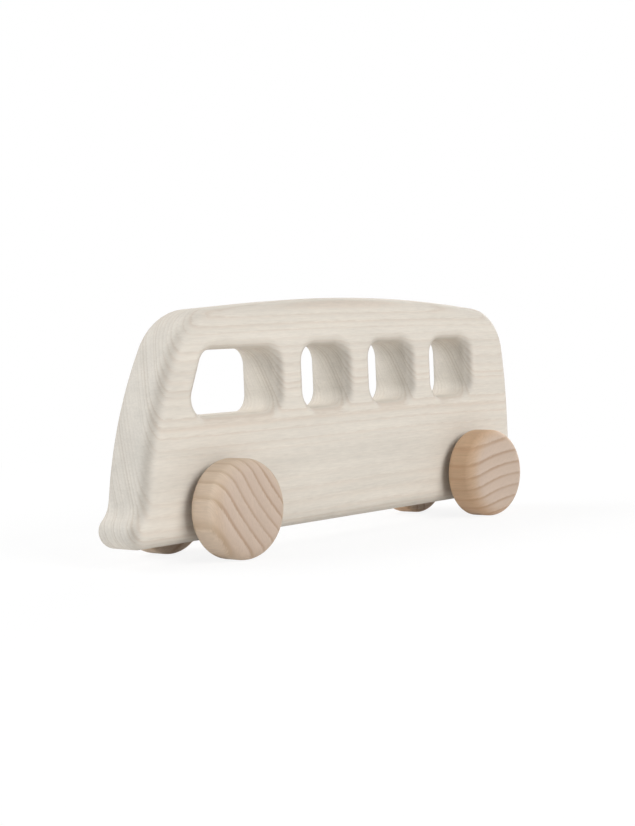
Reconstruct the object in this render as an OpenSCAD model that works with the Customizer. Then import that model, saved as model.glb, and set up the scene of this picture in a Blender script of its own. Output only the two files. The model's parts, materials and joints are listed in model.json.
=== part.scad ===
// Wooden toy bus: a solid board body with four window openings, on two turning wheel sets.
// Frame: +X forward, +Y to the left of the bus, +Z up, origin on the floor below the middle of the bus.

/* [Body] */
// Length of the body, from bumper to rear face
body_l = 185; // [175:1:200]
// Thickness of the board that the body is cut from
body_t = 18; // [14:0.5:24]
// Height of the flat underside above the floor
underside_z = 5.7; // [4:0.1:7]
// Height above the floor of the point where the two slopes of the roof would meet
crown_z = 79.5; // [77:0.5:84]
// Distance of that point behind the middle of the bus
crown_back = 17; // [0:1:30]
// Radius of the roof's crown
crown_r = 590; // [300:10:650]
// Radius of the round-over along the outer edges
edge_r = 4.5; // [2:0.5:6]

/* [Front] */
// Height of the bumper's face
bumper_h = 7.2; // [6:0.1:9]
// Radius of the bumper's bottom edge
bumper_low_r = 5.1; // [3:0.1:6]
// Radius of the bumper's top edge
bumper_top_r = 5; // [2:0.1:6]
// How far the bumper stands out past the hollow above it
bumper_reach = 4; // [2.5:0.5:6]
// Radius of the hollow above the bumper
hollow_r = 8; // [5:0.5:10]
// Height at which the front bends backwards
front_bend_z = 43.5; // [36:0.5:50]
// How far the bend lies behind the bumper
front_bend_in = 7.9; // [6:0.1:11]
// Radius of that bend
front_bend_r = 125; // [60:5:160]
// Height of the brow, where front and roof would meet
brow_z = 74.2; // [71:0.2:77]
// How far the brow lies behind the bumper
brow_in = 24.4; // [20:0.2:28]
// Radius of the brow
brow_r = 20.8; // [12:0.2:26]

/* [Rear] */
// Height of the corner where roof and rear face would meet
tail_z = 71.4; // [68:0.2:75]
// How far that corner lies ahead of the rear face
tail_in = 3.6; // [1:0.2:8]
// Radius of that corner
tail_r = 17.4; // [10:0.2:22]
// Height at which the rear face bends forwards
rear_bend_z = 43; // [36:0.5:50]
// Radius of that bend
rear_bend_r = 180; // [80:5:240]
// Radius of the bottom corner at the rear
rear_foot_r = 6; // [5:0.5:9]

/* [Windows] */
// Height of the window sills above the floor
sill_z = 42.6; // [40:0.2:45]
// Height of every window
window_h = 19.7; // [16:0.1:21]
// Length of each passenger window
window_l = 20.5; // [17:0.5:22]
// Number of passenger windows
window_count = 3; // [2:1:3]
// How far the head of the front window stops short of its sill
front_slant = 7.9; // [5:0.1:10]
// Distance of the front window's sill behind the bumper
front_post_l = 24.3; // [22:0.1:28]
// Length of the posts between windows
post_l = 12; // [10:0.5:13]
// Distance of the last window ahead of the rear face
rear_post_l = 24.5; // [22:0.5:27]
// Radius of the window corners
window_r = 5.4; // [4:0.2:7]
// Radius of the round-over along the window edges
window_edge_r = 3.5; // [1:0.5:4]

/* [Wheels] */
// Distance of the front axle behind the bumper
front_overhang = 34.5; // [30:0.5:40]
// Distance of the rear axle ahead of the rear face
rear_overhang = 28.5; // [24:0.5:34]
// Diameter of the wheels
wheel_d = 30; // [26:0.5:34]
// Thickness of the wheels
wheel_t = 12; // [10:0.5:14]
// Radius of the outer edge of a wheel
wheel_face_r = 4.5; // [2:0.5:5]
// Radius of the inner edge of a wheel
wheel_back_r = 2; // [0.5:0.5:3]
// Gap between wheel and body
wheel_gap = 2.5; // [0.5:0.1:4]

/* [Axles] */
// Diameter of the dowel axles
axle_d = 6; // [4:0.5:8]
// Depth of the blind hole in each wheel
socket_depth = 7.5; // [5:0.5:8]
// Radial clearance of an axle in the body
running_clearance = 0.1; // [0.05:0.01:0.1]
// Radial gap that the glue fills in a wheel
glue_gap = 0.02; // [0.01:0.01:0.05]
// Space left at the bottom of each blind hole
socket_end_gap = 0.3; // [0.1:0.1:1]
// Chamfer on the axle ends
axle_chamfer = 0.6; // [0.2:0.1:1]

/* [Hidden] */
maple = "#dcd4c9";
beech = "#c4af9e";

corner_steps = 7; // facets along each rounded corner of an outline
edge_steps = 5;   // facets across each round-over
cut_past = 1;     // how far a drilled hole runs past the face it opens in
inset_share = 0.9; // most that a round-over cuts into a corner, as a share of the corner's own radius
$fn = 96;
front_x = body_l / 2;
rear_x = -body_l / 2;
front_axle_x = front_x - front_overhang;
rear_axle_x = rear_x + rear_overhang;
axle_z = wheel_d / 2;
wheel_y = body_t / 2 + wheel_gap;
axle_l = 2 * (wheel_y + socket_depth - socket_end_gap);
hollow_z = underside_z + bumper_h + bumper_reach;
window_pitch = window_l + post_l;
first_window_x = rear_x + rear_post_l;
front_window_x = first_window_x + window_count * window_pitch;
front_sill_l = front_x - front_post_l - front_window_x;

// Corners of the body's outline as [x, z, radius], anticlockwise from the rear underside
body_corners = [
    [rear_x, underside_z, rear_foot_r],
    [front_x, underside_z, bumper_low_r],
    [front_x, underside_z + bumper_h, bumper_top_r],
    [front_x - bumper_reach, hollow_z, hollow_r],
    [front_x - front_bend_in, front_bend_z, front_bend_r],
    [front_x - brow_in, brow_z, brow_r],
    [-crown_back, crown_z, crown_r],
    [rear_x + tail_in, tail_z, tail_r],
    [rear_x, rear_bend_z, rear_bend_r],
];

// Corners of a window that starts at x, with the given lengths along sill and head
function window_corners(x, sill_l, head_l) = [
    [x, sill_z, window_r],
    [x + sill_l, sill_z, window_r],
    [x + head_l, sill_z + window_h, window_r],
    [x, sill_z + window_h, window_r],
];

function unit(v) = v / norm(v);
function place(corner) = [corner.x, corner.y];
function ring_item(list, i) = list[(i + len(list)) % len(list)];

// Half of the angle inside corner i of a closed list of corners
function half_angle(corners, i) =
    let (here = place(corners[i]),
         back = unit(place(ring_item(corners, i - 1)) - here),
         ahead = unit(place(ring_item(corners, i + 1)) - here))
    acos(back * ahead) / 2;

// Length that the rounding of corner i takes from each of its two edges
function cut_back(corners, i) =
    let (k = (i + len(corners)) % len(corners))
    corners[k].z / tan(half_angle(corners, k));

// Share of its rounding that corner i can have, so that neighbours never run into each other
function share(corners, i) =
    min([for (step = [-1, 1])
        let (edge = norm(place(ring_item(corners, i + step)) - place(corners[i])))
        min(1, edge / (cut_back(corners, i) + cut_back(corners, i + step)))]);

// One rounded corner as a list of [point, outward normal, most that the point can move inwards]
function rounded_corner(corners, i) =
    let (here = place(corners[i]),
         back = unit(place(ring_item(corners, i - 1)) - here),
         ahead = unit(place(ring_item(corners, i + 1)) - here),
         half = half_angle(corners, i),
         radius = corners[i].z * share(corners, i),
         centre = here + unit(back + ahead) * radius / sin(half),
         spoke = here + back * radius / tan(half) - centre,
         turn = cross(ahead, back) > 0 ? 1 : -1,
         start = atan2(spoke.y, spoke.x))
    [for (s = [0:corner_steps])
        let (a = start + turn * (180 - 2 * half) * s / corner_steps,
             out = [cos(a), sin(a)])
        [centre + radius * out, turn * out, turn > 0 ? inset_share * radius : body_t]];

// A closed outline with all of its corners rounded
function outline(corners) = [for (i = [0:len(corners) - 1]) each rounded_corner(corners, i)];

// The outline's points, moved outwards by d and no further in than they can, in the plane at y
function ring_points(path, d, y) =
    [for (p = path) let (q = p[0] + max(d, -p[2]) * p[1]) [q.x, y, q.y]];

// Middle of an outline, as a point in the plane at y
function hub_point(path, y) =
    let (sum_xz = [for (p = path) 1] * [for (p = path) p[0]])
    [sum_xz.x / len(path), y, sum_xz.y / len(path)];

// Solid through rings of one outline, levels being [y, outward offset] from right to left
module ring_stack(path, levels) {
    n = len(path);
    last = len(levels) - 1;
    hubs = n * len(levels);
    points = [
        for (level = levels) each ring_points(path, level[1], level[0]),
        hub_point(path, levels[0][0]),
        hub_point(path, levels[last][0]),
    ];
    sides = [for (k = [0:last - 1], i = [0:n - 1])
        let (j = (i + 1) % n, low = k * n, high = (k + 1) * n)
        each [[low + i, high + j, high + i], [low + i, low + j, high + j]]];
    right_end = [for (i = [0:n - 1]) [hubs, (i + 1) % n, i]];
    left_end = [for (i = [0:n - 1]) [hubs + 1, last * n + i, last * n + (i + 1) % n]];
    polyhedron(points, concat(sides, right_end, left_end));
}

// Levels of a board of thickness t whose edges are rounded over with radius r
function board_levels(t, r) =
    let (left = [for (s = [0:edge_steps])
        let (a = 90 * s / edge_steps) [t / 2 - r + r * sin(a), r * cos(a) - r]])
    concat([for (s = [edge_steps:-1:0]) [-left[s][0], left[s][1]]], left);

// Levels of a hole through a board of thickness t, flared at both faces with radius r.
// The last facet runs on past the face by its own length.
function hole_levels(t, r) =
    let (facets = [for (s = [0:edge_steps])
            let (a = 90 * s / edge_steps) [t / 2 - r + r * sin(a), r - r * cos(a)]],
         past = 2 * facets[edge_steps] - facets[edge_steps - 1],
         left = concat([for (s = [0:edge_steps - 1]) facets[s]], [past]))
    concat([for (s = [edge_steps:-1:0]) [-left[s][0], left[s][1]]], left);

// Opening of one window
module window_hole(x, sill_l, head_l) {
    ring_stack(outline(window_corners(x, sill_l, head_l)), hole_levels(body_t, window_edge_r));
}

// Bore that an axle turns in
module axle_bore(x) {
    translate([x, 0, axle_z])
        rotate([90, 0, 0])
            cylinder(h = body_t + 2 * cut_past, d = axle_d + 2 * running_clearance, center = true);
}

// Board with its windows cut and its edges rounded
module body() {
    color(maple)
        difference() {
            ring_stack(outline(body_corners), board_levels(body_t, edge_r));
            for (k = [0:window_count - 1])
                window_hole(first_window_x + k * window_pitch, window_l, window_l);
            window_hole(front_window_x, front_sill_l, front_sill_l - front_slant);
            axle_bore(front_axle_x);
            axle_bore(rear_axle_x);
        }
}

// Half section of a wheel, inner face at 0 and outer face at wheel_t
module wheel_section() {
    rim = wheel_d / 2;
    square([rim - wheel_face_r, wheel_t]);
    square([rim - wheel_back_r, wheel_t - wheel_face_r]);
    translate([0, wheel_back_r])
        square([rim, wheel_t - wheel_face_r - wheel_back_r]);
    translate([rim - wheel_face_r, wheel_t - wheel_face_r])
        circle(wheel_face_r);
    translate([rim - wheel_back_r, wheel_back_r])
        circle(wheel_back_r);
}

// Turned wheel with a blind hole in its inner face, side 1 on the left and -1 on the right
module wheel(x, side) {
    color(beech)
        translate([x, side * wheel_y, axle_z])
            rotate([-90 * side, 0, 0])
                difference() {
                    rotate_extrude()
                        wheel_section();
                    translate([0, 0, -cut_past])
                        cylinder(h = socket_depth + cut_past, d = axle_d + 2 * glue_gap);
                }
}

// Dowel with chamfered ends
module axle(x) {
    rod = axle_d / 2;
    half = axle_l / 2;
    color(beech)
        translate([x, 0, axle_z])
            rotate([90, 0, 0])
                rotate_extrude()
                    polygon([
                        [0, -half],
                        [rod - axle_chamfer, -half],
                        [rod, axle_chamfer - half],
                        [rod, half - axle_chamfer],
                        [rod - axle_chamfer, half],
                        [0, half],
                    ]);
}

module front_axle() { axle(front_axle_x); }
module rear_axle() { axle(rear_axle_x); }
module front_left_wheel() { wheel(front_axle_x, 1); }
module front_right_wheel() { wheel(front_axle_x, -1); }
module rear_left_wheel() { wheel(rear_axle_x, 1); }
module rear_right_wheel() { wheel(rear_axle_x, -1); }

body();
front_axle();
rear_axle();
front_left_wheel();
front_right_wheel();
rear_left_wheel();
rear_right_wheel();
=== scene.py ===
"""Looks of a wooden toy bus: a sanded maple board with four window openings on two beech wheel sets.

The frame gives the bus in metres with +X forward, +Y to its left and +Z up. Sizes here are
millimetres, and every surface is worked out as whole arrays before it goes into a mesh.
"""

import json
import logging
from dataclasses import dataclass, replace
from enum import Enum
from functools import partial

import bpy
import numpy as np
from mathutils import Matrix, Vector


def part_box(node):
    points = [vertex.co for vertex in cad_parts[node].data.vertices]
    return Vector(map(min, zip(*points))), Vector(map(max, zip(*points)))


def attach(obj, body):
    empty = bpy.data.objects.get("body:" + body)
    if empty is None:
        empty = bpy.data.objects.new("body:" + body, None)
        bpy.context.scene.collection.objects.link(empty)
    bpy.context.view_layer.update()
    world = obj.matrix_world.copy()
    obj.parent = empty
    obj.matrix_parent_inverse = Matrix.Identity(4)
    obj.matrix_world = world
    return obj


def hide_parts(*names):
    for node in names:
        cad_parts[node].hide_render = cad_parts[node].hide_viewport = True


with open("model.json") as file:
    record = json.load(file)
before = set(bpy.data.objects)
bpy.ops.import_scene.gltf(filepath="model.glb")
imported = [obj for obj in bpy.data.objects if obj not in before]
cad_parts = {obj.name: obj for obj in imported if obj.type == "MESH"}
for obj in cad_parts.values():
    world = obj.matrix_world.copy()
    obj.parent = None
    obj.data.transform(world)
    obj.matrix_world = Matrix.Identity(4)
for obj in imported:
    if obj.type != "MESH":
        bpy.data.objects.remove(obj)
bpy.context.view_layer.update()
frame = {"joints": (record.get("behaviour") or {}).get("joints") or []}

LOG = logging.getLogger("toy_bus")
MM = 0.001
PER_METRE = 1000.0
WELD_DIGITS = 8  # decimals of a metre to which points that lie together agree
LEAN_POWER = 1.5  # how closely slant_grain keeps to the half-way lean
STRAY_RINGS = 5  # rings over which their thickness strays and comes back
ALONG, ACROSS = Vector((1, 0, 0)), Vector((0, 1, 0))
Value = float | tuple[float, ...] | bpy.types.NodeSocket


class Side(Enum):
    """Side of the bus, as the sign of Y."""

    LEFT = 1
    RIGHT = -1


class Corner(Enum):
    """Corners of the body's outline, anticlockwise as seen from the right side of the bus."""

    REAR_FOOT = 0
    BUMPER_LOW = 1
    BROW = 5
    TAIL = 7


@dataclass(frozen=True)
class Patch:
    """A grid of points with their outward normals, both shaped (rows, columns, 3).

    The columns run round a closed loop, so that the last column joins the first.
    """

    points: np.ndarray
    normals: np.ndarray

    def quads(self, start: int) -> np.ndarray:
        """Numbers the grid's quads.

        Args:
            start: number of the grid's first point.

        Returns:
            Four point numbers for each quad.
        """
        rows, columns = self.points.shape[:2]
        number = start + np.arange(rows * columns).reshape(rows, columns)
        beside = np.roll(number, -1, axis=1)
        quads = np.stack([number[:-1], beside[:-1], beside[1:], number[1:]], axis=-1)
        return quads.reshape(-1, 4)


def mesh_from_patches(name: str, patches: list[Patch], fibre: Vector, bark: Vector) -> bpy.types.Mesh:
    """Joins patches into one closed mesh that has exact normals.

    Points that lie together become one. A quad whose own normal runs against its points' normals is
    turned round, and one that has lost a side at a pole becomes a triangle. The attribute end_grain is
    the square e of the normal's share along the wood's fibres: 1 where a face cuts them square, 0 where
    it runs with them. The attribute slant_grain is 4 e b to the LEAN_POWER, where b is the square of its
    share towards the bark: 1 where a face leans half-way from one to the other.

    Args:
        name: the mesh's name.
        patches: the surfaces, in millimetres.
        fibre: direction of the wood's fibres.
        bark: direction in which its growth rings follow each other.

    Returns:
        The mesh, in metres.
    """
    starts = np.cumsum([0] + [patch.points.shape[0] * patch.points.shape[1] for patch in patches])
    points = np.concatenate([patch.points.reshape(-1, 3) for patch in patches]) * MM
    normals = np.concatenate([patch.normals.reshape(-1, 3) for patch in patches])
    quads = np.concatenate([patch.quads(start) for patch, start in zip(patches, starts)])

    diagonals = points[quads[:, 2:]] - points[quads[:, :2]]
    facing = np.cross(diagonals[:, 0], diagonals[:, 1])
    inside_out = np.sum(facing * normals[quads].sum(axis=1), axis=1) < 0
    quads[inside_out] = quads[inside_out, ::-1]

    welded, point_of = np.unique(np.round(points, WELD_DIGITS), axis=0, return_inverse=True)
    corners = point_of.reshape(-1)[quads]
    kept = corners != np.roll(corners, 1, axis=1)
    whole = kept.sum(axis=1) > 2
    corners, kept, quads = corners[whole], kept[whole], quads[whole]
    sides = kept.sum(axis=1)
    corner_normals = normals[quads[kept]]

    mesh = bpy.data.meshes.new(name)
    mesh.vertices.add(len(welded))
    mesh.vertices.foreach_set("co", welded.ravel())
    mesh.loops.add(int(sides.sum()))
    mesh.loops.foreach_set("vertex_index", corners[kept].astype(np.int32))
    mesh.polygons.add(len(sides))
    mesh.polygons.foreach_set("loop_start", (np.cumsum(sides) - sides).astype(np.int32))
    mesh.polygons.foreach_set("use_smooth", np.ones(len(sides), dtype=bool))
    mesh.update(calc_edges=True)
    end_share, bark_share = ((corner_normals @ np.array(way)) ** 2 for way in (fibre, bark))
    slant_share = (4 * end_share * bark_share) ** LEAN_POWER
    for kind, share in (("end_grain", end_share), ("slant_grain", slant_share)):
        attribute = mesh.attributes.new(kind, "FLOAT", "CORNER")
        attribute.data.foreach_set("value", share.astype(np.float32))
    mesh.normals_split_custom_set(corner_normals)
    return mesh


def place_piece(mesh: bpy.types.Mesh, material: bpy.types.Material, body: str, node: str) -> None:
    """Puts a mesh into the scene in place of a solid of the frame, moving with that solid's body.

    Args:
        mesh: the piece's mesh, named as the piece.
        material: its finish.
        body: moving body that it rides on.
        node: solid that it stands for.
    """
    piece = bpy.data.objects.new(mesh.name, mesh)
    bpy.context.scene.collection.objects.link(piece)
    mesh.materials.append(material)
    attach(piece, body)
    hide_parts(node)
    LOG.info("%s: %d points, %d faces, on %s",
             piece.name, len(mesh.vertices), len(mesh.polygons), body)


@dataclass(frozen=True)
class Outline:
    """A closed outline in the XZ plane with rounded corners, sampled closely.

    Attributes:
        run: distance run along the outline at each sample, from 0 to its length.
        points: x and z of each sample, the first repeated at the end.
        normals: outward normal at each sample.
        corner_run: distance run at the middle of each corner.
    """

    run: np.ndarray
    points: np.ndarray
    normals: np.ndarray
    corner_run: np.ndarray

    @classmethod
    def rounded(cls, corners: list[tuple[float, float, float]], arc_steps: int = 64) -> "Outline":
        """Rounds each corner with an arc that touches both of its edges.

        An arc of radius r takes r / tan(half the corner's angle) from each edge, and its centre lies
        r / sin(half the angle) from the corner along the bisector. Radii shrink where two arcs would
        meet.

        Args:
            corners: x, z and radius of each corner, anticlockwise.
            arc_steps: steps along each arc, an even number.

        Returns:
            The rounded outline.
        """
        table = np.array(corners)
        here, radius = table[:, :2], table[:, 2]
        to_last, to_next = np.roll(here, 1, axis=0) - here, np.roll(here, -1, axis=0) - here
        edge_last, edge_next = np.linalg.norm(to_last, axis=1), np.linalg.norm(to_next, axis=1)
        back, ahead = to_last / edge_last[:, None], to_next / edge_next[:, None]
        half = np.arccos(np.sum(back * ahead, axis=1)) / 2
        cut = radius / np.tan(half)
        room = np.minimum(edge_last / (cut + np.roll(cut, 1)), edge_next / (cut + np.roll(cut, -1)))
        radius = radius * np.minimum(1, room)
        bisector = (back + ahead) / np.linalg.norm(back + ahead, axis=1)[:, None]
        centre = here + bisector * (radius / np.sin(half))[:, None]
        spoke = here + back * (radius / np.tan(half))[:, None] - centre
        turn = np.sign(ahead[:, 0] * back[:, 1] - ahead[:, 1] * back[:, 0])
        share = np.linspace(0, 1, arc_steps + 1)
        sweep = turn * (np.pi - 2 * half)
        angle = np.arctan2(spoke[:, 1], spoke[:, 0])[:, None] + sweep[:, None] * share
        spokes = np.stack([np.cos(angle), np.sin(angle)], axis=-1)
        points = (centre[:, None] + radius[:, None, None] * spokes).reshape(-1, 2)
        normals = (turn[:, None, None] * spokes).reshape(-1, 2)
        points, normals = np.vstack([points, points[:1]]), np.vstack([normals, normals[:1]])
        run = np.concatenate([[0], np.cumsum(np.linalg.norm(np.diff(points, axis=0), axis=1))])
        middle = np.arange(len(table)) * (arc_steps + 1) + arc_steps // 2
        return cls(run, points, normals, run[middle])

    def at(self, run: np.ndarray) -> tuple[np.ndarray, np.ndarray]:
        """Finds points on the outline, straight between its samples.

        Args:
            run: distances run along the outline.

        Returns:
            The points and their outward normals.
        """
        length = self.run[-1]
        parts = np.hstack([self.points, self.normals]).T
        found = np.stack([np.interp(run, self.run, part, period=length) for part in parts], axis=1)
        return found[:, :2], found[:, 2:] / np.linalg.norm(found[:, 2:], axis=1)[:, None]

    def crossing(self, inset: float, axis: int, value: float, facing: tuple[float, float]) -> float:
        """Finds where the outline, moved inwards, crosses a straight line on one of its sides.

        Args:
            inset: how far the outline is moved inwards.
            axis: 0 for a line at constant x, 1 for a line at constant z.
            value: that x or z.
            facing: direction that the side faces, within half a right angle.

        Returns:
            The distance run along the outline.
        """
        ring = self.points - inset * self.normals
        side = self.normals @ np.array(facing) > np.sqrt(0.5)
        order = np.argsort(ring[side, axis])
        return float(np.interp(value, ring[side, axis][order], self.run[side][order]))


@dataclass(frozen=True)
class Section:
    """Cross-section of a board's edge: rows of y, outward offset and the two parts of the normal."""

    y: np.ndarray
    offset: np.ndarray
    out: np.ndarray
    across: np.ndarray

    @classmethod
    def rounded_edge(cls, thickness: float, radius: float, steps: int) -> "Section":
        """Quarter circles at both faces of a board, with a flat between them.

        At angle a from the flat, a point lies radius * (1 - cos a) inwards and radius * sin a towards
        the face.

        Args:
            thickness: thickness of the board.
            radius: radius of the round-over.
            steps: steps across each quarter circle.

        Returns:
            The cross-section, from the right face to the left face.
        """
        quarter = np.linspace(0, np.pi / 2, steps + 1)
        angle = np.concatenate([-quarter[::-1], quarter])
        side = np.repeat([-1.0, 1.0], steps + 1)
        y = side * (thickness / 2 - radius) + radius * np.sin(angle)
        return cls(y, radius * np.cos(angle) - radius, np.cos(angle), np.sin(angle))

    def as_hole(self) -> "Section":
        """The same edge round a hole, whose outline points out into the wood."""
        return Section(self.y, -self.offset, -self.out, self.across)

    def carried(self, outline: Outline, run: np.ndarray) -> Patch:
        """Carries the cross-section along an outline.

        Args:
            outline: the path.
            run: distances along it at which the columns lie.

        Returns:
            The edge's surface.
        """
        points, normals = outline.at(run)
        spots = points[None] + self.offset[:, None, None] * normals[None]
        slopes = self.out[:, None, None] * normals[None]
        y = np.broadcast_to(self.y[:, None], spots.shape[:2])
        across = np.broadcast_to(self.across[:, None], spots.shape[:2])
        return Patch(np.stack([spots[..., 0], y, spots[..., 1]], axis=-1),
                     np.stack([slopes[..., 0], across, slopes[..., 1]], axis=-1))


@dataclass(frozen=True)
class Cell:
    """A part of the flat side that has one hole in it.

    Attributes:
        hole: the hole's outline, of four corners from the lower rear one, anticlockwise.
        hole_edge_r: round-over along the hole's edge.
        sides: points along the bottom, front, top and rear of the cell, each without its last point.
    """

    hole: Outline
    hole_edge_r: float
    sides: list[np.ndarray]

    def hole_run(self) -> np.ndarray:
        """Spaces points along the hole's outline to suit the cell.

        Returns:
            Distances along it, as many between two corners as the cell has points on that side.
        """
        stops = np.append(self.hole.corner_run, self.hole.corner_run[0] + self.hole.run[-1])
        return np.concatenate([np.linspace(stops[k], stops[k + 1], len(side), endpoint=False)
                               for k, side in enumerate(self.sides)])

    def flat(self, y: float, rows: int) -> Patch:
        """Rules straight lines from the rim of the hole to the border of the cell.

        Args:
            y: place of the flat side.
            rows: steps along each line.

        Returns:
            The flat surface.
        """
        points, normals = self.hole.at(self.hole_run())
        rim, border = points + self.hole_edge_r * normals, np.concatenate(self.sides)
        share = np.linspace(0, 1, rows + 1)[:, None, None]
        spots = rim + share * (border - rim)
        level = np.full(spots.shape[:2], y)
        facing = np.zeros(spots.shape[:2] + (3,))
        facing[..., 1] = np.sign(y)
        return Patch(np.stack([spots[..., 0], level, spots[..., 1]], axis=-1), facing)


def spaced(start: np.ndarray, end: np.ndarray, gap: float) -> np.ndarray:
    """Points or distances from start up to end, without the end, about one gap apart.

    Args:
        start: first value.
        end: value that the row stops short of.
        gap: distance between neighbours.

    Returns:
        The values, one per row.
    """
    count = max(2, round(float(np.linalg.norm(np.subtract(end, start))) / gap))
    return np.linspace(start, end, count, endpoint=False)


@dataclass
class BusBody:
    """The board that the bus is cut from, with its windows and axle bores.

    The fields that have a value are the sizes of the outline, the windows and the bores, how the board
    lay in its tree, and the mesh's steps. In their names _z is a height, _r a radius, _l and _h the
    length and height of a part, and _in a distance in from the end of the bus.

    Attributes:
        length: length, from bumper to rear face.
        thickness: thickness of the board.
        underside: height of the flat underside.
        axle_x: places of the rear and the front axle.
        axle_z: height of the axles.
    """

    length: float
    thickness: float
    underside: float
    axle_x: tuple[float, float]
    axle_z: float

    edge_r: float = 4.5
    crown_z: float = 79.37
    crown_back: float = 17.0
    crown_r: float = 590.0
    bumper_h: float = 7.2
    bumper_low_r: float = 5.1
    bumper_top_r: float = 5.0
    bumper_reach: float = 4.0
    hollow_r: float = 8.0
    front_bend_z: float = 43.5
    front_bend_in: float = 7.9
    front_bend_r: float = 125.0
    brow_z: float = 74.2
    brow_in: float = 24.4
    brow_r: float = 20.8
    tail_z: float = 71.4
    tail_in: float = 3.6
    tail_r: float = 17.4
    rear_bend_z: float = 43.0
    rear_bend_r: float = 180.0
    rear_foot_r: float = 6.0

    sill_z: float = 42.6
    window_h: float = 19.7
    window_l: float = 20.5
    window_count: int = 3
    front_slant: float = 7.9
    front_post_l: float = 24.3
    post_l: float = 12.0
    rear_post_l: float = 24.5
    window_r: float = 5.4
    window_edge_r: float = 3.5

    bore_d: float = 6.2
    bore_edge_r: float = 0.4

    pith: tuple[float, float, float] = (0.0, 229.0, 72.0)
    first_line: float = 259.3

    waist_z: float = 33.0
    outline_gap: float = 0.9
    line_gap: float = 1.2
    edge_steps: int = 12
    flat_rows: int = 3

    def corners(self) -> list[tuple[float, float, float]]:
        """Places the corners of the outline.

        Returns:
            Their x, z and radius, anticlockwise from the rear underside.
        """
        front, rear = self.length / 2, -self.length / 2
        bumper_top = self.underside + self.bumper_h
        return [
            (rear, self.underside, self.rear_foot_r),
            (front, self.underside, self.bumper_low_r),
            (front, bumper_top, self.bumper_top_r),
            (front - self.bumper_reach, bumper_top + self.bumper_reach, self.hollow_r),
            (front - self.front_bend_in, self.front_bend_z, self.front_bend_r),
            (front - self.brow_in, self.brow_z, self.brow_r),
            (-self.crown_back, self.crown_z, self.crown_r),
            (rear + self.tail_in, self.tail_z, self.tail_r),
            (rear, self.rear_bend_z, self.rear_bend_r),
        ]

    def window(self, x: float, sill_l: float, head_l: float) -> Outline:
        """Draws one window.

        Args:
            x: place of its rear edge.
            sill_l: length along the sill.
            head_l: length along the head.

        Returns:
            Its outline.
        """
        sill_z, head_z, r = self.sill_z, self.sill_z + self.window_h, self.window_r
        return Outline.rounded([
            (x, sill_z, r), (x + sill_l, sill_z, r), (x + head_l, head_z, r), (x, head_z, r)])

    def windows(self) -> list[Outline]:
        """Draws the windows in a row.

        Returns:
            Outlines of the passenger windows from the rear, and of the front window.
        """
        pitch = self.window_l + self.post_l
        first = self.rear_post_l - self.length / 2
        front = first + self.window_count * pitch
        front_sill_l = self.length / 2 - self.front_post_l - front
        passenger = [self.window(first + k * pitch, self.window_l, self.window_l)
                     for k in range(self.window_count)]
        return passenger + [self.window(front, front_sill_l, front_sill_l - self.front_slant)]

    def bore(self, x: float) -> Outline:
        """Draws an axle bore as a square whose corners are rounded until they meet.

        Args:
            x: place of the axle.

        Returns:
            The bore's outline.
        """
        r = self.bore_d / 2
        square = ((-1, -1), (1, -1), (1, 1), (-1, 1))
        return Outline.rounded([(x + i * r, self.axle_z + k * r, r) for i, k in square])

    def layout(self) -> tuple[Outline, np.ndarray, list[Cell]]:
        """Divides the flat side into cells of one hole each.

        Three upright lines through the middles of the posts and two level lines above the wheels
        divide it.

        Returns:
            The body's outline, the distances along it at which its columns lie, and the cells.
        """
        outline = Outline.rounded(self.corners())
        windows = self.windows()
        pitch = self.window_l + self.post_l
        first_post = self.rear_post_l - self.length / 2 + self.window_l + self.post_l / 2
        posts = [first_post + k * pitch for k in range(self.window_count)]
        mid = {corner: outline.corner_run[corner.value] for corner in Corner}
        floor = [outline.crossing(self.edge_r, 0, x, (0, -1)) for x in posts]
        roof = [outline.crossing(self.edge_r, 0, x, (0, 1)) for x in posts]
        front = outline.crossing(self.edge_r, 1, self.waist_z, (1, 0))
        rear = outline.crossing(self.edge_r, 1, self.waist_z, (-1, 0))
        stops = [mid[Corner.REAR_FOOT], *floor, mid[Corner.BUMPER_LOW], front, mid[Corner.BROW],
                 *roof[::-1], mid[Corner.TAIL], rear, mid[Corner.REAR_FOOT] + outline.run[-1]]
        runs = [spaced(a, b, self.outline_gap) for a, b in zip(stops, stops[1:])]

        def rim(run: np.ndarray) -> np.ndarray:
            """Points where the round-over meets the flat side."""
            points, normals = outline.at(np.atleast_1d(run))
            return points - self.edge_r * normals

        def line(*points: np.ndarray) -> np.ndarray:
            """Points along straight lines from one point to the next."""
            return np.concatenate([spaced(a, b, self.line_gap) for a, b in zip(points, points[1:])])

        low, top = [rim(run)[0] for run in floor], [rim(run)[0] for run in roof]
        waist = [np.array([x, self.waist_z]) for x in posts]
        nose, tail = rim(front)[0], rim(rear)[0]
        ring = [rim(run) for run in runs]
        (rear_floor, rear_mid_floor, front_mid_floor, front_floor, bumper, screen,
         front_roof, front_mid_roof, rear_mid_roof, rear_roof, back, foot) = ring
        borders = [
            [line(tail, waist[0]), line(waist[0], top[0]), rear_roof, back],
            [rear_mid_floor, line(low[1], top[1]), rear_mid_roof, line(top[0], waist[0], low[0])],
            [front_mid_floor, line(low[2], waist[2], top[2]), front_mid_roof, line(top[1], low[1])],
            [line(waist[2], nose), screen, front_roof, line(top[2], waist[2])],
            [rear_floor, line(low[0], waist[0]), line(waist[0], tail), foot],
            [front_floor, bumper, line(nose, waist[2]), line(waist[2], low[2])],
        ]
        bores = [self.bore(x) for x in self.axle_x]
        edges = [self.window_edge_r] * len(windows) + [self.bore_edge_r] * len(bores)
        cells = [Cell(*parts) for parts in zip(windows + bores, edges, borders)]
        return outline, np.concatenate(runs), cells

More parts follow.
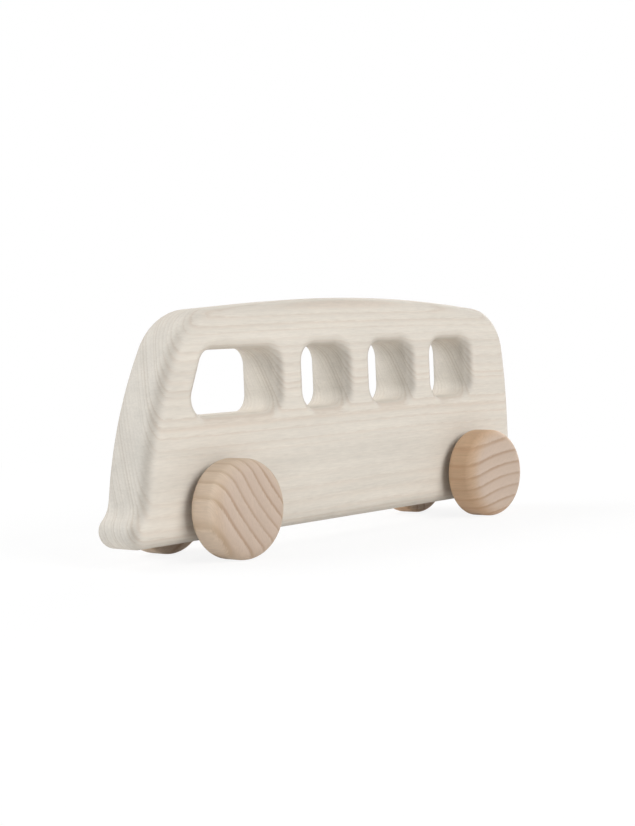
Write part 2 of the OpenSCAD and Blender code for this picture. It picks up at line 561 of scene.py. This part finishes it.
    def build(self) -> bpy.types.Mesh:
        """Builds the board: its outer edge, the edge of every hole and the cells of both flat sides.

        Returns:
            The mesh, with its fibres along X.
        """
        outline, run, cells = self.layout()
        rim = Section.rounded_edge(self.thickness, self.edge_r, self.edge_steps)
        patches = [rim.carried(outline, run)]
        for cell in cells:
            edge = Section.rounded_edge(self.thickness, cell.hole_edge_r, self.edge_steps).as_hole()
            patches.append(edge.carried(cell.hole, cell.hole_run()))
            patches += [cell.flat(side.value * self.thickness / 2, self.flat_rows) for side in Side]
        return mesh_from_patches("board_body", patches, ALONG, ACROSS)

    def dress(self, mesh: bpy.types.Mesh) -> None:
        """Gives the board its sanded maple and puts it on the body."""
        finish = SANDED_MAPLE.material("sanded_maple", Cut(self.pith, self.first_line))
        place_piece(mesh, finish, "body", "body")


@dataclass(frozen=True)
class Profile:
    """Half section of a turned piece: rows of distances along the axis and from it, and of normals."""

    points: np.ndarray
    normals: np.ndarray

    @classmethod
    def straight(cls, start: tuple[float, float], end: tuple[float, float], steps: int = 1) -> "Profile":
        """A straight stretch that has its outside on the left.

        Args:
            start: distance along the axis and from it at the start.
            end: the same at the end.
            steps: steps along it.

        Returns:
            The stretch.
        """
        points = np.linspace(start, end, steps + 1)
        along = np.subtract(end, start) / np.linalg.norm(np.subtract(end, start))
        return cls(points, np.tile([-along[1], along[0]], (steps + 1, 1)))

    @classmethod
    def arc(cls, centre: tuple[float, float], radius: float, start: float, end: float,
            steps: int) -> "Profile":
        """A round stretch between two angles in degrees, measured from the axis.

        Args:
            centre: distance of the centre along the axis and from it.
            radius: radius of the arc.
            start: angle at the start.
            end: angle at the end.
            steps: steps along it.

        Returns:
            The stretch.
        """
        angle = np.radians(np.linspace(start, end, steps + 1))
        spokes = np.stack([np.cos(angle), np.sin(angle)], axis=-1)
        return cls(np.array(centre) + radius * spokes, spokes)

    @classmethod
    def chain(cls, *stretches: "Profile") -> "Profile":
        """Stretches one after the other, each with its own normals where two meet at an edge."""
        return cls(np.concatenate([stretch.points for stretch in stretches]),
                   np.concatenate([stretch.normals for stretch in stretches]))

    def turned(self, x: float, z: float, start_y: float, side: Side, columns: int) -> Patch:
        """Turns the half section round an axis along Y.

        A point at distance a along the axis and r from it goes to x + r cos t, start + a, z + r sin t.

        Args:
            x: place of the axis.
            z: height of the axis.
            start_y: distance of the section's start from the middle of the bus.
            side: side of the bus that the axis points to.
            columns: steps round the axis.

        Returns:
            The turned surface.
        """
        turn = np.linspace(0, 2 * np.pi, columns, endpoint=False)
        spokes = np.stack([np.cos(turn), np.zeros(columns), np.sin(turn)], axis=-1)
        axis = np.array([0.0, side.value, 0.0])
        points = np.array([x, 0.0, z]) + (start_y + self.points[:, :1, None]) * axis
        points = points + self.points[:, 1:, None] * spokes
        return Patch(points, self.normals[:, :1, None] * axis + self.normals[:, 1:, None] * spokes)


@dataclass
class WheelSet:
    """Two turned wheels glued to the ends of a dowel that runs through the board.

    Attributes:
        name: front or rear.
        x: place of the axle.
        z: height of the axle.
        wheel_d: diameter of the wheels.
        wheel_t: thickness of the wheels.
        wheel_y: distance of a wheel's inner face from the middle of the bus.
        axle_d: diameter of the dowel.
        axle_l: length of the dowel.
        wood: the wheels' wood.
        cuts: how each wheel lay in its billet.
    """

    name: str
    x: float
    z: float
    wheel_d: float
    wheel_t: float
    wheel_y: float
    axle_d: float
    axle_l: float
    wood: "Wood"
    cuts: dict[Side, "Cut"]

    face_r: float = 4.5
    back_r: float = 2.0
    socket_gap: float = 0.02
    socket_end_gap: float = 0.3
    axle_chamfer: float = 0.6
    dowel_pith: tuple[float, float] = (-25.0, 35.0)
    dowel_first_line: float = 43.0
    wheel_columns: int = 128
    axle_columns: int = 64
    arc_steps: int = 12
    face_steps: int = 6

    def wheel_profile(self) -> Profile:
        """Draws the half section of a wheel.

        Returns:
            The section from the bottom of its blind hole, round its rim, to the middle of its face.
        """
        rim, hole = self.wheel_d / 2, self.axle_d / 2 + self.socket_gap
        depth = self.axle_l / 2 - self.wheel_y + self.socket_end_gap
        face_start, face_in = self.wheel_t - self.face_r, rim - self.face_r
        return Profile.chain(
            Profile.straight((depth, 0), (depth, hole)),
            Profile.straight((depth, hole), (0, hole)),
            Profile.straight((0, hole), (0, rim - self.back_r), self.face_steps),
            Profile.arc((self.back_r, rim - self.back_r), self.back_r, 180, 90, self.arc_steps),
            Profile.straight((self.back_r, rim), (face_start, rim), self.face_steps),
            Profile.arc((face_start, face_in), self.face_r, 90, 0, self.arc_steps),
            Profile.straight((self.wheel_t, face_in), (self.wheel_t, 0), self.face_steps),
        )

    def axle_profile(self) -> Profile:
        """Draws the half section of the dowel.

        Returns:
            The section from end to end, with both ends chamfered.
        """
        rod, half, cut = self.axle_d / 2, self.axle_l / 2, self.axle_chamfer
        stops = [(-half, 0), (-half, rod - cut), (cut - half, rod),
                 (half - cut, rod), (half, rod - cut), (half, 0)]
        return Profile.chain(*(Profile.straight(a, b) for a, b in zip(stops, stops[1:])))

    def build(self) -> dict[str, bpy.types.Mesh]:
        """Turns the dowel and both wheels, all with their fibres along the axle.

        Returns:
            The meshes by the names of the solids that they stand for.
        """
        fibre, bark = ACROSS, ALONG
        axle = self.axle_profile().turned(self.x, self.z, 0, Side.LEFT, self.axle_columns)
        made = {f"{self.name}_axle": mesh_from_patches(f"{self.name}_dowel", [axle], fibre, bark)}
        for side in Side:
            name = f"{self.name}_{side.name.lower()}"
            wheel = self.wheel_profile().turned(self.x, self.z, self.wheel_y, side, self.wheel_columns)
            made[f"{name}_wheel"] = mesh_from_patches(f"{name}_turned_wheel", [wheel], fibre, bark)
        return made

    def dress(self, meshes: dict[str, bpy.types.Mesh]) -> None:
        """Gives each wheel its own piece of beech and the dowel a plain one, all on the axle's body.

        Args:
            meshes: the meshes by the names of the solids that they stand for.
        """
        body = f"{self.name}_axle"
        cut = Cut.along_axle(self.x, self.z, self.dowel_pith, self.dowel_first_line)
        rod = DOWEL_BEECH.material(f"rolled_beech_{self.name}", cut)
        place_piece(meshes[body], rod, body, body)
        for side in Side:
            name = f"{self.name}_{side.name.lower()}"
            finish = self.wood.material(f"turned_beech_{name}", self.cuts[side])
            place_piece(meshes[f"{name}_wheel"], finish, body, f"{name}_wheel")


def linear(colour: str) -> tuple[float, float, float, float]:
    """Turns an sRGB colour to linear light.

    Args:
        colour: a hash sign and six hex digits.

    Returns:
        Red, green, blue and an alpha of 1.
    """
    srgb = np.array([int(colour[k:k + 2], 16) for k in (1, 3, 5)]) / 255
    rgb = np.where(srgb <= 0.04045, srgb / 12.92, ((srgb + 0.055) / 1.055) ** 2.4)
    return (*(float(part) for part in rgb), 1.0)


def add_node(tree: bpy.types.NodeTree, kind: str, sockets: dict[str | int, Value] | None = None,
             **settings: object) -> bpy.types.Node:
    """Adds a shader node with its settings and links.

    Args:
        tree: the material's node tree.
        kind: the node's class name without its ShaderNode.
        sockets: a constant, or the socket to link from, for each input.
        settings: the node's own properties.

    Returns:
        The node.
    """
    node = tree.nodes.new("ShaderNode" + kind)
    for name, setting in settings.items():
        setattr(node, name, setting)
    for key, value in (sockets or {}).items():
        if isinstance(value, bpy.types.NodeSocket):
            tree.links.new(value, node.inputs[key])
        else:
            node.inputs[key].default_value = value
    return node


def emptied_tree(owner: bpy.types.Material | bpy.types.World) -> bpy.types.NodeTree:
    """Turns a material's or a world's nodes on and takes the stock ones away.

    Args:
        owner: the material or the world.

    Returns:
        Its empty node tree.
    """
    owner.use_nodes = True
    owner.node_tree.nodes.clear()
    return owner.node_tree


@dataclass(frozen=True)
class Cut:
    """How a piece lay in the tree: its pattern has the fibres along X and the pith at the origin.

    Attributes:
        pith: shift in millimetres, after the turn, that brings the pith to the origin.
        first_line: distance from the pith of one ring's end, from which the others are counted.
        turn: turn about Z in radians that brings the fibres to X.
    """

    pith: tuple[float, float, float]
    first_line: float
    turn: float = 0.0

    @classmethod
    def along_axle(cls, x: float, z: float, pith: tuple[float, float], first_line: float) -> "Cut":
        """A piece turned with its fibres along its axle.

        Args:
            x: place of the axle.
            z: height of the axle.
            pith: place of the pith beside the axle, rearwards and upwards.
            first_line: distance from the pith of one ring's end.

        Returns:
            The cut.
        """
        return cls((0.0, x - pith[0], -z - pith[1]), first_line, -np.pi / 2)


@dataclass(frozen=True)
class Wood:
    """A bare sanded wood, cut anywhere through the growth rings round a pith. Lengths are millimetres.

    Attributes:
        long_grain: colours of early and late wood on faces that run with the fibres.
        end_grain: the same on faces that cut the fibres square.
        slant: tint of faces that lean half-way from the fibres' ends to the bark, where fibres stand up
        and shade each other; it also holds painted shade for the rounded edges there, which catch little
        light.
        hatch: how much stronger the lines are there.
        ring: thickness of a growth ring.
        ring_taper: how much thicker rings grow outwards, as a share for each millimetre.
        ring_spread: how far the rings' thickness strays, as a share of it.
        fray: how far fibres carry the lines out of place.
        shade_share: darkness that builds up across a ring before its line.
        line_share: share of a ring that the line takes.
        line_release: share of a ring over which the line ends.
        weakest_line: strength of the faintest line against the strongest.
        rarity: how rare strong lines are, as a power.
        sway: how far the rings sway, and the lengths of that sway along and across the fibres.
        streak: length and width of the fibre streaks.
        streak_depth: their contrast.
        ray: length along the fibres, depth towards the pith and width of the rays' flecks.
        ray_depth: their contrast.
        mottle: length and width of the patches of uneven tone.
        mottle_depth: their contrast.
        roughness: roughness of the sanded surface.
        line_wander: how much the patches strengthen or weaken the lines.
        rough_streak: how much the streaks change the roughness.
        line_sink: how far sanding sinks the lines, against the streaks' relief.
        bump: strength and height of the relief.
        gloss: level of the surface's shine.
    """

    long_grain: tuple[str, str]
    end_grain: tuple[str, str]
    slant: str
    hatch: float
    ring: float
    ring_taper: float
    ring_spread: float
    fray: float
    shade_share: float
    line_share: float
    line_release: float
    weakest_line: float
    rarity: float
    sway: tuple[float, float, float]
    streak: tuple[float, float]
    streak_depth: float
    ray: tuple[float, float, float]
    ray_depth: float
    mottle: tuple[float, float]
    mottle_depth: float
    roughness: float
    line_wander: float = 1.5
    rough_streak: float = 0.2
    line_sink: float = 0.15
    bump: tuple[float, float] = (0.15, 0.15)
    gloss: float = 0.25

    def growth(self, tree: bpy.types.NodeTree, cut: Cut) -> tuple[Value, Value]:
        """Places each point in the tree.

        Its place is the distance along the fibres, the distance from the pith with the rings' sway
        added, and the angle round the pith times the distance without it.

        Args:
            tree: the material's node tree.
            cut: how the piece lay in the tree.

        Returns:
            The sockets of the place in the tree and of the distance from the pith, in millimetres.
        """
        add = partial(add_node, tree)
        spot = add("TexCoord").outputs["Object"]
        wood = add("Mapping", {
            "Vector": spot, "Scale": (PER_METRE,) * 3, "Rotation": (0, 0, cut.turn),
            "Location": cut.pith}).outputs[0]
        depth, along, across = self.sway
        swayed = add("VectorMath", {
            0: wood, 1: (1 / along, 1 / across, 1 / across)}, operation="MULTIPLY")
        sway = add("TexNoise", {"Vector": swayed.outputs[0], "Scale": 1.0, "Detail": 1.0})
        shift = add("MapRange", {"Value": sway.outputs["Fac"], "To Min": -depth, "To Max": depth})
        parts = add("SeparateXYZ", {0: wood})
        square_on = add("VectorMath", {0: wood, 1: (0, 1, 1)}, operation="MULTIPLY")
        radius = add("VectorMath", {0: square_on.outputs[0]}, operation="LENGTH").outputs["Value"]
        ring_place = add("Math", {0: radius, 1: shift.outputs[0]}, operation="ADD").outputs[0]
        angle = add("Math", {0: parts.outputs["Z"], 1: parts.outputs["Y"]}, operation="ARCTAN2")
        around = add("Math", {0: angle.outputs[0], 1: radius}, operation="MULTIPLY")
        place = add("CombineXYZ", {"X": parts.outputs["X"], "Y": ring_place, "Z": around.outputs[0]})
        return place.outputs[0], ring_place

    def rings(self, tree: bpy.types.NodeTree, ring_place: Value,
              first_line: float) -> tuple[Value, Value]:
        """Draws the growth rings: each darkens slowly outwards and ends in a thin line.

        At distance d outside the first line, d (1 - taper d / 2) / ring lines have been passed. A slow
        noise is added to that count, and its fraction is the share of the ring that has been passed.

        Args:
            tree: the material's node tree.
            ring_place: distance from the pith.
            first_line: distance from the pith of the first line.

        Returns:
            The sockets of the slow shade and of the line, each from 0 to 1.
        """
        add = partial(add_node, tree)
        outside = add("Math", {0: ring_place, 1: first_line}, operation="SUBTRACT").outputs[0]
        slow = add("Math", {0: outside, 1: 1 / (STRAY_RINGS * self.ring)}, operation="MULTIPLY")
        noise = add("TexNoise", {
            "W": slow.outputs[0], "Scale": 1.0, "Detail": 1.0}, noise_dimensions="1D")
        most = STRAY_RINGS * self.ring_spread / 2
        stray = add("MapRange", {"Value": noise.outputs["Fac"], "To Min": -most, "To Max": most})
        narrow = add("Math", {0: outside, 1: -self.ring_taper / (2 * self.ring), 2: 1 / self.ring},
                     operation="MULTIPLY_ADD")
        passed = add("Math", {
            0: outside, 1: narrow.outputs[0], 2: stray.outputs[0]}, operation="MULTIPLY_ADD").outputs[0]
        share = add("Math", {0: passed}, operation="FRACT").outputs[0]
        number = add("Math", {0: passed}, operation="FLOOR")
        strength = add("TexWhiteNoise", {"W": number.outputs[0]}, noise_dimensions="1D")
        rare = add("Math", {0: strength.outputs["Value"], 1: self.rarity}, operation="POWER")
        strong = add("MapRange", {
            "Value": rare.outputs[0], "To Min": self.weakest_line, "To Max": 1.0}).outputs[0]
        rise = add("MapRange", {
            "Value": share, "From Min": 1 - self.line_share, "From Max": 1.0},
            interpolation_type="SMOOTHSTEP")
        fall = add("MapRange", {
            "Value": share, "From Min": self.line_release, "From Max": 0.0},
            interpolation_type="SMOOTHSTEP")
        edge = add("Math", {0: rise.outputs[0], 1: fall.outputs[0]}, operation="MAXIMUM")
        line = add("Math", {0: edge.outputs[0], 1: strong}, operation="MULTIPLY")
        shade = add("Math", {0: share, 1: strong}, operation="MULTIPLY")
        return shade.outputs[0], line.outputs[0]

    def figure(self, tree: bpy.types.NodeTree, place: Value,
               size: tuple[float, float, float]) -> Value:
        """Draws uneven grain of one size.

        Args:
            tree: the material's node tree.
            place: place in the tree.
            size: length of the grain along the fibres, towards the pith and round it.

        Returns:
            The socket of the grain, from -0.5 to 0.5.
        """
        add = partial(add_node, tree)
        scaled = add("VectorMath", {0: place, 1: tuple(1 / s for s in size)}, operation="MULTIPLY")
        noise = add("TexNoise", {"Vector": scaled.outputs[0], "Scale": 1.0, "Detail": 2.0})
        return add("Math", {0: noise.outputs["Fac"], 1: 0.5}, operation="SUBTRACT").outputs[0]

    def material(self, name: str, cut: Cut) -> bpy.types.Material:
        """Makes the wood's material for one piece.

        Args:
            name: the material's name.
            cut: how the piece lay in the tree.

        Returns:
            The material.
        """
        made = bpy.data.materials.new(name)
        tree = emptied_tree(made)
        add = partial(add_node, tree)
        place, ring_place = self.growth(tree, cut)
        streak = self.figure(tree, place, (self.streak[0], self.streak[1], self.streak[1]))
        frayed = add("Math", {0: streak, 1: self.fray, 2: ring_place}, operation="MULTIPLY_ADD")
        shade, line = self.rings(tree, frayed.outputs[0], cut.first_line)
        ray = self.figure(tree, place, self.ray)
        mottle = self.figure(tree, place, (self.mottle[0], self.mottle[1], self.mottle[1]))
        end_grain = add("Attribute", attribute_name="end_grain").outputs["Fac"]
        slant = add("Attribute", attribute_name="slant_grain").outputs["Fac"]

        stronger = add("Math", {0: slant, 1: self.hatch, 2: 1.0}, operation="MULTIPLY_ADD")
        wander = add("Math", {
            0: mottle, 1: self.line_wander, 2: stronger.outputs[0]}, operation="MULTIPLY_ADD")
        drawn = add("Math", {0: line, 1: wander.outputs[0]}, operation="MULTIPLY")
        late = add("Math", {0: shade, 1: self.shade_share, 2: drawn.outputs[0]},
                   operation="MULTIPLY_ADD", use_clamp=True).outputs[0]
        with_fibres, across_fibres = (
            add("Mix", {"Factor": late, "A": linear(early), "B": linear(last)}, data_type="RGBA")
            for early, last in (self.long_grain, self.end_grain))
        cut_colour = add("Mix", {
            "Factor": end_grain, "A": with_fibres.outputs["Result"],
            "B": across_fibres.outputs["Result"]}, data_type="RGBA")
        # Partly painted shade: faces at a slant to the fibres are tinted darker, for the wood's own look
        # there and for the little light that these rounded edges catch.
        tint = add("Mix", {
            "Factor": slant, "A": (1, 1, 1, 1), "B": linear(self.slant)}, data_type="RGBA")
        shaded = add("VectorMath", {
            0: cut_colour.outputs["Result"], 1: tint.outputs["Result"]}, operation="MULTIPLY")
        tone: Value = 1.0
        for grain, depth in ((streak, self.streak_depth), (ray, self.ray_depth),
                             (mottle, self.mottle_depth)):
            tone = add("Math", {0: grain, 1: depth, 2: tone}, operation="MULTIPLY_ADD").outputs[0]
        colour = add("VectorMath", {0: shaded.outputs[0], "Scale": tone}, operation="SCALE")
        rough = add("Math", {
            0: streak, 1: self.rough_streak, 2: self.roughness}, operation="MULTIPLY_ADD")
        height = add("Math", {0: late, 1: -self.line_sink, 2: streak}, operation="MULTIPLY_ADD")
        strength, relief = self.bump
        bump = add("Bump", {"Strength": strength, "Distance": relief * MM, "Height": height.outputs[0]})
        shader = add("BsdfPrincipled", {
            "Base Color": colour.outputs[0], "Roughness": rough.outputs[0], "Normal": bump.outputs[0],
            "Specular IOR Level": self.gloss})
        add("OutputMaterial", {"Surface": shader.outputs[0]})
        return made


# Hard maple, planed and sanded bare: pale cream with faint pinkish ring lines, cooler where fibres end
# Its slant tint darkens the rounded edges between end and side grain, partly as painted shade.
SANDED_MAPLE = Wood(
    long_grain=("#dcd5ca", "#d5cabd"), end_grain=("#d9d4cb", "#cac3b8"), slant="#e0dfde", hatch=0.9,
    ring=1.25, ring_taper=0.0, ring_spread=0.35, fray=0.5, shade_share=0.35, line_share=0.5,
    line_release=0.3, weakest_line=0.1, rarity=1.8, sway=(0.8, 120.0, 45.0), streak=(5.0, 0.6),
    streak_depth=0.2, ray=(2.2, 4.0, 0.5), ray_depth=0.08, mottle=(60.0, 5.0), mottle_depth=0.24,
    roughness=0.62)

# Steamed beech, turned with its fibres along the axle and sanded bare: faces cut the rings to bold lines
TURNED_BEECH = Wood(
    long_grain=("#decab5", "#d0b9a0"), end_grain=("#c9b6a6", "#af9681"), slant="#f8f5f0", hatch=0.2,
    ring=4.2, ring_taper=0.013, ring_spread=0.03, fray=1.0, shade_share=0.45, line_share=0.28,
    line_release=0.13, weakest_line=0.6, rarity=1.0, sway=(0.3, 60.0, 18.0), streak=(6.0, 0.5),
    streak_depth=0.28, ray=(2.5, 5.0, 0.5), ray_depth=0.12, mottle=(14.0, 9.0), mottle_depth=0.10,
    roughness=0.6)

# The same beech with browner, darker rims: painted shade, standing for the light and sheen that the rear
# rims miss
REAR_BEECH_WITH_PAINTED_SHADE = replace(TURNED_BEECH, long_grain=("#dbbb9b", "#d1ad8d"))

# Beech dowel, rolled from straight stock: plain long grain with fine flecks
DOWEL_BEECH = Wood(
    long_grain=("#cdb69d", "#b3946f"), end_grain=("#ccb9a9", "#ad927c"), slant="#f8f5f0", hatch=0.2,
    ring=2.2, ring_taper=0.0, ring_spread=0.2, fray=0.3, shade_share=0.3, line_share=0.3,
    line_release=0.1, weakest_line=0.4, rarity=1.0, sway=(0.3, 60.0, 15.0), streak=(9.0, 0.35),
    streak_depth=0.12, ray=(2.5, 4.0, 0.4), ray_depth=0.12, mottle=(12.0, 8.0), mottle_depth=0.08,
    roughness=0.6)

# Where the pith lay beside each wheel's axle, rearwards and upwards, and one ring's distance from it
FRONT_PITHS = {Side.LEFT: (68.8, 53.3, 92.3), Side.RIGHT: (-40.0, 55.0, 66.0)}
REAR_PITHS = {Side.LEFT: (10.2, -74.3, 77.6), Side.RIGHT: (-58.0, -25.0, 64.0)}


def seen_plainly(tree: bpy.types.NodeTree) -> Value:
    """Tells rays that see a surface, straight or in a gloss or glass, from those that carry its light.

    Args:
        tree: the node tree.

    Returns:
        The socket of the factor, 1 for rays that see.
    """
    add = partial(add_node, tree)
    path = add("LightPath").outputs
    seen = add("Math", {0: path["Is Camera Ray"], 1: path["Is Glossy Ray"]}, operation="MAXIMUM")
    return add("Math", {
        0: seen.outputs[0], 1: path["Is Transmission Ray"]}, operation="MAXIMUM").outputs[0]


@dataclass(frozen=True)
class Lamp:
    """A soft square lamp that looks at the bus. Lengths are metres.

    Attributes:
        name: its name.
        place: where it stands.
        level: light that it gives the bus, as a share of a plain white.
        width: width of its square.
    """

    name: str
    place: tuple[float, float, float]
    level: float
    width: float = 1.4


@dataclass
class Studio:
    """Pale floor, soft lamps and the camera. Lengths are metres and levels are shares of a plain white.

    Attributes:
        world_level: light from all round.
        lamps: the lamps.
        aim: point that the lamps look at.
        floor_half: half the floor's width.
        floor_white: colour of the floor, for the light that it throws back.
        floor_shadow: share of the bus's shadow that the camera sees.
        floor_lift: level of the floor as the camera sees it, a little over white.
        shadow_reach: distances from the middle at which the shadow starts to fade and is gone.
        eye: place of the camera.
        yaw: heading of the camera's view from +X, in degrees.
        pitch: how far the view looks down, in degrees.
        roll: how far the picture is turned, in degrees.
        focal: focal length in pixels of the picture.
        picture: width and height of the picture in pixels.
        sensor: width of the camera's sensor in millimetres.
        clip: nearest and farthest distance that the camera sees.
    """

    world_level: float = 0.24
    lamps: tuple[Lamp, ...] = (
        Lamp("front_softbox", (2.18, -1.06, 0.64), 0.35),
        Lamp("side_softbox", (0.0, 2.27, 1.10), 0.655),
        Lamp("right_softbox", (0.60, -1.66, 1.81), 0.40),
        Lamp("back_softbox", (-2.28, -0.83, 0.64), 0.42),
    )
    aim: tuple[float, float, float] = (0.0, 0.0, 0.04)
    floor_half: float = 2.0
    floor_white: str = "#f2f2f2"
    floor_shadow: float = 0.15
    floor_lift: float = 1.02
    shadow_reach: tuple[float, float] = (0.15, 0.45)
    eye: tuple[float, float, float] = (0.39289, 0.35642, 0.06236)
    yaw: float = 222.44
    pitch: float = 2.417
    roll: float = 2.562
    focal: float = 1617.9
    picture: tuple[int, int] = (635, 826)
    sensor: float = 36.0
    clip: tuple[float, float] = (0.01, 20.0)

    def floor(self) -> None:
        """Lays a square matt sheet, seen as white with a share of the shadow kept near the bus."""
        x, y = np.meshgrid(*[[-self.floor_half, self.floor_half]] * 2)
        corners = np.stack([x.ravel(), y.ravel(), np.zeros(4)], axis=-1)
        mesh = bpy.data.meshes.new("floor")
        mesh.from_pydata(corners.tolist(), [], [(0, 1, 3, 2)])
        sheet = bpy.data.objects.new("floor", mesh)
        bpy.context.scene.collection.objects.link(sheet)
        made = bpy.data.materials.new("matt_white_paper")
        tree = emptied_tree(made)
        add = partial(add_node, tree)
        paper = add("BsdfDiffuse", {"Color": linear(self.floor_white)})
        dimmed = add("BsdfDiffuse", {"Color": (self.floor_shadow,) * 3 + (1.0,)})
        lift = add("Emission", {"Strength": self.floor_lift - self.floor_shadow})
        near = add("AddShader", {0: dimmed.outputs[0], 1: lift.outputs[0]})
        white = add("Emission", {"Strength": 1.0})
        distance = add("VectorMath", {0: add("TexCoord").outputs["Object"]}, operation="LENGTH")
        start, end = self.shadow_reach
        far = add("MapRange", {
            "Value": distance.outputs["Value"], "From Min": start, "From Max": end},
            interpolation_type="SMOOTHSTEP")
        seen = add("MixShader", {0: far.outputs[0], 1: near.outputs[0], 2: white.outputs[0]})
        surface = add("MixShader", {0: seen_plainly(tree), 1: paper.outputs[0], 2: seen.outputs[0]})
        add("OutputMaterial", {"Surface": surface.outputs[0]})
        mesh.materials.append(made)

    def world(self) -> None:
        """Surrounds the bus with even light, which the camera sees as plain white."""
        made = bpy.data.worlds.new("white_surround")
        tree = emptied_tree(made)
        add = partial(add_node, tree)
        light = add("Background", {"Color": (1, 1, 1, 1), "Strength": self.world_level})
        white = add("Background", {"Color": (1, 1, 1, 1), "Strength": 1.0})
        mixed = add("MixShader", {0: seen_plainly(tree), 1: light.outputs[0], 2: white.outputs[0]})
        add("OutputWorld", {"Surface": mixed.outputs[0]})
        bpy.context.scene.world = made

    def light(self) -> None:
        """Sets the lamps up. One of power P gives a white card at distance d the level P / (pi d)^2."""
        for lamp in self.lamps:
            data = bpy.data.lights.new(lamp.name, "AREA")
            data.size = lamp.width
            towards = Vector(self.aim) - Vector(lamp.place)
            data.energy = lamp.level * (np.pi * towards.length) ** 2
            softbox = bpy.data.objects.new(lamp.name, data)
            softbox.location = lamp.place
            softbox.rotation_euler = towards.to_track_quat("-Z", "Y").to_euler()
            softbox.visible_camera = False
            bpy.context.scene.collection.objects.link(softbox)

    def camera(self) -> None:
        """Sets the camera from its heading: the view's axes are worked out and turned by the roll."""
        yaw, pitch, roll = np.radians([self.yaw, self.pitch, self.roll])
        view = np.array([np.cos(pitch) * np.cos(yaw), np.cos(pitch) * np.sin(yaw), -np.sin(pitch)])
        level = np.array([np.sin(yaw), -np.cos(yaw), 0])
        down = np.cross(view, level)
        right = np.cos(roll) * level + np.sin(roll) * down
        up = np.sin(roll) * level - np.cos(roll) * down
        data = bpy.data.cameras.new("camera")
        data.sensor_width = self.sensor
        data.lens = self.focal * self.sensor / max(self.picture)
        data.clip_start, data.clip_end = self.clip
        eye = bpy.data.objects.new("camera", data)
        turn = Matrix(np.stack([right, up, -view], axis=1).tolist()).to_4x4()
        eye.matrix_world = Matrix.Translation(self.eye) @ turn
        bpy.context.scene.collection.objects.link(eye)
        bpy.context.scene.camera = eye

    def build(self) -> None:
        """Sets the whole stage up."""
        bpy.context.scene.view_settings.view_transform = "Standard"
        self.floor()
        self.world()
        self.light()
        self.camera()
        LOG.info("studio: %d lamps", len(self.lamps))


def wheel_set(name: str, wood: Wood, piths: dict[Side, tuple[float, float, float]]) -> WheelSet:
    """Takes a wheel set's sizes from the frame.

    Args:
        name: front or rear.
        wood: the wheels' wood.
        piths: place of the pith beside each wheel's axle, rearwards and upwards, and a ring's distance
            from it.

    Returns:
        The wheel set.
    """
    low, high = (np.array(corner) * PER_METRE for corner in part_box(f"{name}_left_wheel"))
    axle_low, axle_high = (np.array(corner) * PER_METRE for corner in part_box(f"{name}_axle"))
    joint = next(j for j in frame["joints"] if j["child"] == f"{name}_axle")
    x, _, z = (part * PER_METRE for part in joint["pos_m"])
    return WheelSet(
        name=name, x=x, z=z, wood=wood,
        wheel_d=2 * float(z - low[2]), wheel_t=float(high[1] - low[1]), wheel_y=float(low[1]),
        axle_d=float(axle_high[0] - axle_low[0]), axle_l=float(axle_high[1] - axle_low[1]),
        cuts={side: Cut.along_axle(x, z, pith[:2], pith[2]) for side, pith in piths.items()})


def main() -> None:
    """Builds the stage, the body and the wheel sets in order."""
    logging.basicConfig(level=logging.INFO, format="%(name)s %(message)s")
    Studio().build()
    front = wheel_set("front", TURNED_BEECH, FRONT_PITHS)
    # The rear wheels' rims carry painted shade in their colour.
    rear = wheel_set("rear", REAR_BEECH_WITH_PAINTED_SHADE, REAR_PITHS)
    low, high = (np.array(corner) * PER_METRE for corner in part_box("body"))
    length, thickness, _ = (float(size) for size in high - low)
    body = BusBody(length=length, thickness=thickness, underside=float(low[2]),
                   axle_x=(rear.x, front.x), axle_z=front.z)
    for part in (body, front, rear):
        part.dress(part.build())


if __name__ == "__main__":
    main()
